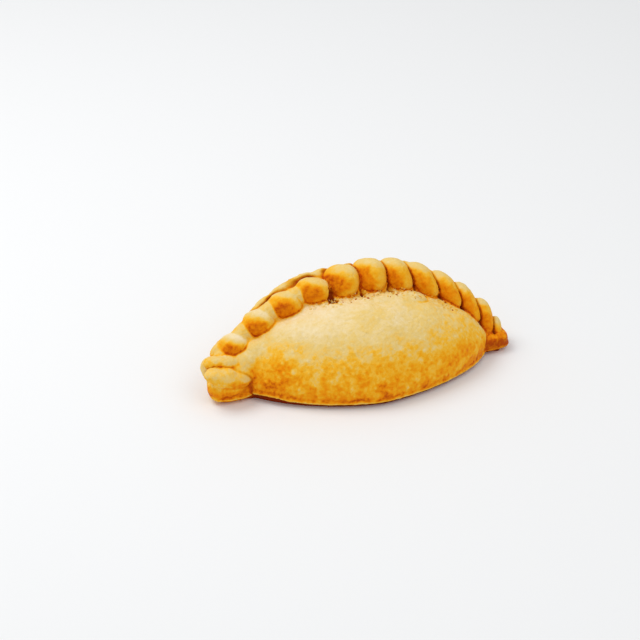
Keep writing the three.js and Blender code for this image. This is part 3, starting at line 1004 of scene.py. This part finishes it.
def browning(fields, blisters, relief):
    """How far each point is baked, from 0, floury, to 1, chestnut."""
    # On the right tail, surfaces that face up are paler: partly a paler bake and partly painted light from
    # above
    painted_top_light = smooth_step(fields.normals[:, 2], 0.25, 0.8)
    baked = dome_browning(fields)
    baked += egg_wash(fields, blisters) * smooth_step(baked, 0.15, 0.45)
    covers = (
        (pleat_browning(fields) - 0.06 * blisters, fields.on_pleat),
        (RIDGE_TONE, fields.on_ridge),
        (LIP_TONE, fields.on_lip),
        (left_tail_browning(fields) - 0.1 * blisters, fields.on_left_tail),
        (RIGHT_TAIL_TONE - 0.14 * painted_top_light, fields.on_right_tail),
    )
    for tone, cover in covers:
        baked = between((baked, tone), cover)
    # Painted shade darkens the hollows, and a painted highlight pales raised edges, but less so on the left
    # tail
    baked += limited(fields.hollow, *HOLLOW_PAINTED_SHADE)
    baked -= limited(-fields.hollow, *RAISED_PAINTED_HIGHLIGHT) * (1 - 0.7 * fields.on_left_tail)
    # Darker just above the rim on the dome, and the rim itself paler: partly its own paler edge and partly
    # a painted highlight
    above = above_rim(fields, relief)
    baked += 0.18 * bell(above - 5, 4) * (1 - fields.on_left_tail)
    baked = between((baked, RIM_TONE_AND_HIGHLIGHT), 0.8 * bell(above, 1.2))
    return np.clip(baked, 0, 1)


def mottling(fields, baked):
    """How mottled the crust is, from 0 to 1: the palest crust is the most even."""
    return (0.4 + 0.6 * smooth_step(baked, 0.15, 0.45)) * (1 - 0.3 * fields.on_pleat)


def scorching_and_painted_shade(fields, relief):
    """How dark painted shade makes the creases, the crack, the holes of the seam, the gap below the rim and
    the right tail's sides, with the seam's scorched specks, to 1.
    """
    broken = np.clip(0.45 + 1.2 * noise_at(fields.points, *CRACK_GAPS), 0, 1)
    specks = smooth_step(noise_at(fields.points, *DARK_SPECKS), 0.3, 0.5)
    on_dome = 1 - np.maximum(fields.on_left_tail, fields.on_right_tail)
    below_rim = fading(above_rim(fields, relief), *BELOW_RIM)
    # The right tail's sides are darker: partly a browner bake and partly painted shade
    right_tail_painted_side_shade = fields.on_right_tail * fading(fields.normals[:, 2], 0.2, 0.6)
    # Painted shade darkens the pleats' creases, the seam's holes, the tail's creases, edge and hole, and
    # the crack; only the seam's specks are scorched
    dark_places = (
        0.65 * fields.crease(),
        0.85 * fields.pit,
        0.7 * fields.tail_crease(),
        0.5 * fields.tail_edge(),
        # A painted shadow in the gap below the rim, on the dome
        on_dome * below_rim,
        0.3 * right_tail_painted_side_shade,
        fields.crack() * (0.25 + 0.75 * broken),
        0.75 * fields.seam() * specks * broken,
        fields.tail_hole(),
    )
    return np.clip(np.maximum.reduce(dark_places), 0, 1)


def store(mesh, name, values):
    attribute = mesh.attributes.new(name, "FLOAT", "POINT")
    attribute.data.foreach_set("value", np.asarray(values, np.float32))


def add_node(tree, kind, settings=None, inputs=None, links=None):
    """Adds a node with its settings, its unlinked input values and the sockets that feed it."""
    node = tree.nodes.new(kind)
    for name, value in (settings or {}).items():
        setattr(node, name, value)
    for name, value in (inputs or {}).items():
        node.inputs[name].default_value = value
    for name, socket in (links or {}).items():
        tree.links.new(socket, node.inputs[name])
    return node


def egg_washed_shortcrust(colours):
    """Shortcrust baked under egg wash: satin, mottled from floury cream to amber, with painted shade in its
    creases.
    """
    material = bpy.data.materials.new("egg_washed_shortcrust")
    material.use_nodes = True
    tree = material.node_tree
    tree.nodes.clear()
    place = add_node(tree, "ShaderNodeTexCoord").outputs["Object"]
    baked, strength, dark = [
        add_node(tree, "ShaderNodeAttribute", {"attribute_name": name}).outputs["Fac"]
        for name in ("browning", "mottling", "scorching_and_painted_shade")
    ]
    # Blotches of egg wash 7 mm across, flecks of 2 mm, and pale veins about 9 mm apart
    patterns = (
        {"Scale": 1 / 0.007, "Detail": 3.0, "Roughness": 0.6, "Distortion": 0.8},
        {"Scale": 1 / 0.002, "Detail": 2.0, "Roughness": 0.5},
        {"Scale": 1 / 0.009, "Detail": 2.0, "Roughness": 0.55, "Distortion": 1.2},
    )
    blotches, flecks, veins = [
        add_node(tree, "ShaderNodeTexNoise", inputs=pattern, links={"Vector": place}).outputs["Fac"]
        for pattern in patterns
    ]
    off_vein = add_node(tree, "ShaderNodeMath", {"operation": "SUBTRACT"}, {1: 0.5}, {0: veins})
    vein_gap = add_node(
        tree, "ShaderNodeMath", {"operation": "ABSOLUTE"}, links={0: off_vein.outputs["Value"]}
    )
    # How far each pattern makes the crust paler or more baked
    shades = (
        (blotches, {"From Min": 0.35, "From Max": 0.65, "To Min": -0.10, "To Max": 0.10}),
        (flecks, {"From Min": 0.3, "From Max": 0.7, "To Min": -0.13, "To Max": 0.08}),
        (vein_gap.outputs["Value"], {"From Min": 0.0, "From Max": 0.03, "To Min": -0.07, "To Max": 0.0}),
    )
    blotched, flecked, veined = [
        add_node(tree, "ShaderNodeMapRange", inputs=limits, links={"Value": pattern}).outputs["Result"]
        for pattern, limits in shades
    ]
    patchy = add_node(tree, "ShaderNodeMath", {"operation": "ADD"}, links={0: blotched, 1: flecked})
    mottle = add_node(
        tree, "ShaderNodeMath", {"operation": "ADD"}, links={0: patchy.outputs["Value"], 1: veined}
    )
    toned = add_node(
        tree,
        "ShaderNodeMath",
        {"operation": "MULTIPLY_ADD"},
        links={0: mottle.outputs["Value"], 1: strength, 2: baked},
    )
    tones = add_node(tree, "ShaderNodeValToRGB", links={"Fac": toned.outputs["Value"]})
    stops = (
        (0.0, colours.floury),
        (0.2, colours.cream),
        (0.42, colours.straw),
        (0.6, colours.golden),
        (0.8, colours.amber),
        (1.0, colours.chestnut),
    )
    ramp = tones.color_ramp
    while len(ramp.elements) < len(stops):
        ramp.elements.new(0.5)
    for element, (position, tone) in zip(ramp.elements, stops):
        element.position = position
        element.color = tone
    # The dark colour mixed in here is painted shade, and the scorched specks and crumbs
    tinted = add_node(
        tree,
        "ShaderNodeMix",
        {"data_type": "RGBA"},
        inputs={"B": colours.scorched_and_painted_shade},
        links={"Factor": dark, "A": tones.outputs["Color"]},
    )
    gloss = add_node(
        tree,
        "ShaderNodeMapRange",
        inputs={"From Min": 0.0, "From Max": 1.0, "To Min": 0.62, "To Max": 0.42},
        links={"Value": toned.outputs["Value"]},
    )
    bump = add_node(
        tree,
        "ShaderNodeBump",
        inputs={"Strength": 0.5, "Distance": 0.001},
        links={"Height": flecks},
    )
    crust = add_node(
        tree,
        "ShaderNodeBsdfPrincipled",
        inputs={"Specular IOR Level": 0.04, "IOR": 1.45},
        links={
            "Base Color": tinted.outputs["Result"],
            "Roughness": gloss.outputs["Result"],
            "Normal": bump.outputs["Normal"],
        },
    )
    add_node(tree, "ShaderNodeOutputMaterial", links={"Surface": crust.outputs["BSDF"]})
    return material


def matt_white_paint(tone):
    """Matt white paint of a studio floor: even and without a shine."""
    material = bpy.data.materials.new("matt_white_paint")
    material.use_nodes = True
    paint = material.node_tree.nodes["Principled BSDF"]
    paint.inputs["Base Color"].default_value = tone
    paint.inputs["Roughness"].default_value = 0.8
    paint.inputs["Specular IOR Level"].default_value = 0.1
    return material


class PASTY_OT_crust(bpy.types.Operator):
    """Shape, bake and place the pasty's crust"""

    bl_idname = "pasty.crust"
    bl_label = "Baked crust"

    def execute(self, context):
        scene = context.scene
        relief = scene.pasty_relief
        forms = PastyForms(scene)
        mesh = fused_crust(forms, relief)
        cut_flat_base(mesh, relief)
        corner = vectors_of(mesh.vertices, "co").min(axis=0)
        softness = CrustFields(mesh, forms).softness()
        mesh = with_modifier(mesh, "SMOOTH", {"factor": 0.5, "iterations": 60}, softness)
        fields = CrustFields(mesh, forms)
        blisters = blisters_at(fields.points, relief.blister_size)
        shift = np.array(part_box(CAD_NODE)[0]) - corner
        self.place_points(mesh, fields, blisters, relief, shift)
        baked = browning(fields, blisters, relief)
        dark = scorching_and_painted_shade(fields, relief)
        # Where painted shade or scorched specks darken it, pale crust first turns chestnut
        store(mesh, "browning", baked + (1 - baked) * np.clip(1.5 * dark, 0, 1))
        store(mesh, "mottling", mottling(fields, baked))
        store(mesh, "scorching_and_painted_shade", dark)
        store(mesh, "seam", fields.seam())
        mesh.name = "baked_crust"
        mesh.materials.append(egg_washed_shortcrust(scene.pasty_colours))
        crust = add_object("baked_crust", mesh)
        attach(crust, BODY)
        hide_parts(CAD_NODE)
        return {"FINISHED"}

    def place_points(self, mesh, fields, blisters, relief, shift):
        """Raises the relief and moves the crust into the frame's coordinates."""
        moved = fields.points + relief_heights(fields, blisters, relief)[:, None] * fields.normals
        moved += base_rim(fields, relief)
        moved[:, 2] = np.maximum(moved[:, 2], 0)
        moved += shift
        mesh.vertices.foreach_set("co", moved.astype(np.float32).ravel())
        mesh.update()


class PASTY_OT_crumbs(bpy.types.Operator):
    """Scatter crumbs of torn pastry along the seam"""

    bl_idname = "pasty.crumbs"
    bl_label = "Seam crumbs"

    def execute(self, context):
        sizes = context.scene.pasty_crumbs
        crust = bpy.data.objects["baked_crust"].data
        whole = bmesh.new()
        for i, k in enumerate(self.places(crust, sizes.count)):
            radius = between(sizes.radii, (0.5 + 0.5 * uneven(i, CRUMB_RADIUS)) ** 2)
            ground = crust.vertices[k]
            centre = np.array(ground.co - sizes.sunk * radius * ground.normal)
            add_ball(whole, CRUMB_DIVISIONS, lambda ball: centre + radius * self.lumpy(ball, i))
        mesh = finished_mesh(whole, "seam_crumbs")
        each = len(mesh.vertices) // sizes.count
        tones = np.array([0.5 + 0.5 * uneven(i, CRUMB_TONE) for i in range(sizes.count)])
        dark = tones > 1 - sizes.dark_share
        store(mesh, "browning", np.repeat(np.where(dark, 0.9, 0.12 + 0.4 * tones), each))
        store(mesh, "mottling", np.full(len(mesh.vertices), 0.5))
        store(mesh, "scorching_and_painted_shade", np.repeat(0.55 * dark, each))
        for face in mesh.polygons:
            face.use_smooth = True
        mesh.materials.append(bpy.data.materials["egg_washed_shortcrust"])
        crumbs = add_object("seam_crumbs", mesh)
        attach(crumbs, BODY)
        return {"FINISHED"}

    def places(self, crust, count):
        """Vertices of the crust for the crumbs, spread along the seam."""
        seam = np.zeros(len(crust.vertices), np.float32)
        crust.attributes["seam"].data.foreach_get("value", seam)
        near_enough = 0.35
        near = np.flatnonzero(seam > near_enough)
        in_order = near[np.argsort(vectors_of(crust.vertices, "co")[near, 0])]
        steps = [(i + 0.5 + 0.45 * uneven(i, CRUMB_PLACE)) / count for i in range(count)]
        return in_order[(np.array(steps) * len(in_order)).astype(int)].tolist()

    def lumpy(self, ball, index):
        """A ball of radius 1 with lumps nearly as wide as its radius."""
        return ball * (1 + 0.6 * noise_at(ball, 0.9, index))[:, None]


class PASTY_OT_stage(bpy.types.Operator):
    """Set up the floor, the soft light and the camera"""

    bl_idname = "pasty.stage"
    bl_label = "Studio stage"

    def execute(self, context):
        scene = context.scene
        stage = scene.pasty_stage
        self.make_floor(stage)
        self.make_light(scene, stage)
        self.make_camera(scene, stage)
        scene.view_settings.view_transform = "Standard"
        return {"FINISHED"}

    def make_floor(self, stage):
        plane = bmesh.new()
        bmesh.ops.create_grid(plane, x_segments=1, y_segments=1, size=stage.floor_half)
        mesh = finished_mesh(plane, "studio_floor")
        mesh.materials.append(matt_white_paint(stage.floor_colour))
        floor = add_object("studio_floor", mesh)

    def make_light(self, scene, stage):
        world = bpy.data.worlds.new("studio_sky")
        world.use_nodes = True
        sky = world.node_tree.nodes["Background"]
        sky.inputs["Color"].default_value = (1, 1, 1, 1)
        sky.inputs["Strength"].default_value = stage.sky_strength
        scene.world = world
        self.add_lamp("soft_box", *SOFT_BOX, stage.key_power)
        self.add_lamp("fill_light", *FILL_LIGHT, stage.fill_power)

    def add_lamp(self, name, location, size, power):
        """Adds a round soft lamp that shines at the origin."""
        light = bpy.data.lights.new(name, "AREA")
        light.shape = "DISK"
        light.size = size
        light.energy = power
        lamp = add_object(name, light)
        lamp.location = location
        lamp.rotation_euler = (-Vector(location)).to_track_quat("-Z", "Y").to_euler()

    def make_camera(self, scene, stage):
        azimuth, elevation = stage.azimuth, stage.elevation
        level = Vector((math.sin(azimuth), -math.cos(azimuth), 0))
        back = level * math.cos(elevation) + Vector((0, 0, math.sin(elevation)))
        right = Vector((math.cos(azimuth), math.sin(azimuth), 0))
        up = back.cross(right)
        camera_data = bpy.data.cameras.new("camera")
        camera_data.lens = stage.lens
        camera_data.sensor_width = SENSOR_WIDTH_MM
        camera = add_object("camera", camera_data)
        camera.location = right * stage.aim_right + up * stage.aim_up + back * stage.distance
        camera.rotation_euler = (-back).to_track_quat("-Z", "Y").to_euler()
        scene.camera = camera


class PASTY_PT_panel(bpy.types.Panel):
    """Lists the pieces of the pasty"""

    bl_idname = "PASTY_PT_panel"
    bl_label = "Meat pasty"
    bl_space_type = "VIEW_3D"
    bl_region_type = "UI"
    bl_category = "Pasty"

    def draw(self, context):
        for operator in OPERATORS:
            self.layout.operator(operator.bl_idname)


PROPERTY_GROUPS = {
    "pasty_dome": DomeSizes,
    "pasty_rope": RopeSizes,
    "pasty_tails": TailSizes,
    "pasty_relief": CrustRelief,
    "pasty_crumbs": CrumbSizes,
    "pasty_colours": CrustColours,
    "pasty_stage": StageSettings,
}
OPERATORS = (PASTY_OT_crust, PASTY_OT_crumbs, PASTY_OT_stage)
CLASSES = (*PROPERTY_GROUPS.values(), *OPERATORS, PASTY_PT_panel)


def register():
    for cls in CLASSES:
        bpy.utils.register_class(cls)
    for name, group in PROPERTY_GROUPS.items():
        setattr(bpy.types.Scene, name, PointerProperty(type=group))


def unregister():
    for name in PROPERTY_GROUPS:
        delattr(bpy.types.Scene, name)
    for cls in reversed(CLASSES):
        bpy.utils.unregister_class(cls)


def main():
    register()
    bpy.ops.pasty.crust()
    bpy.ops.pasty.crumbs()
    bpy.ops.pasty.stage()


if __name__ == "__main__":
    main()
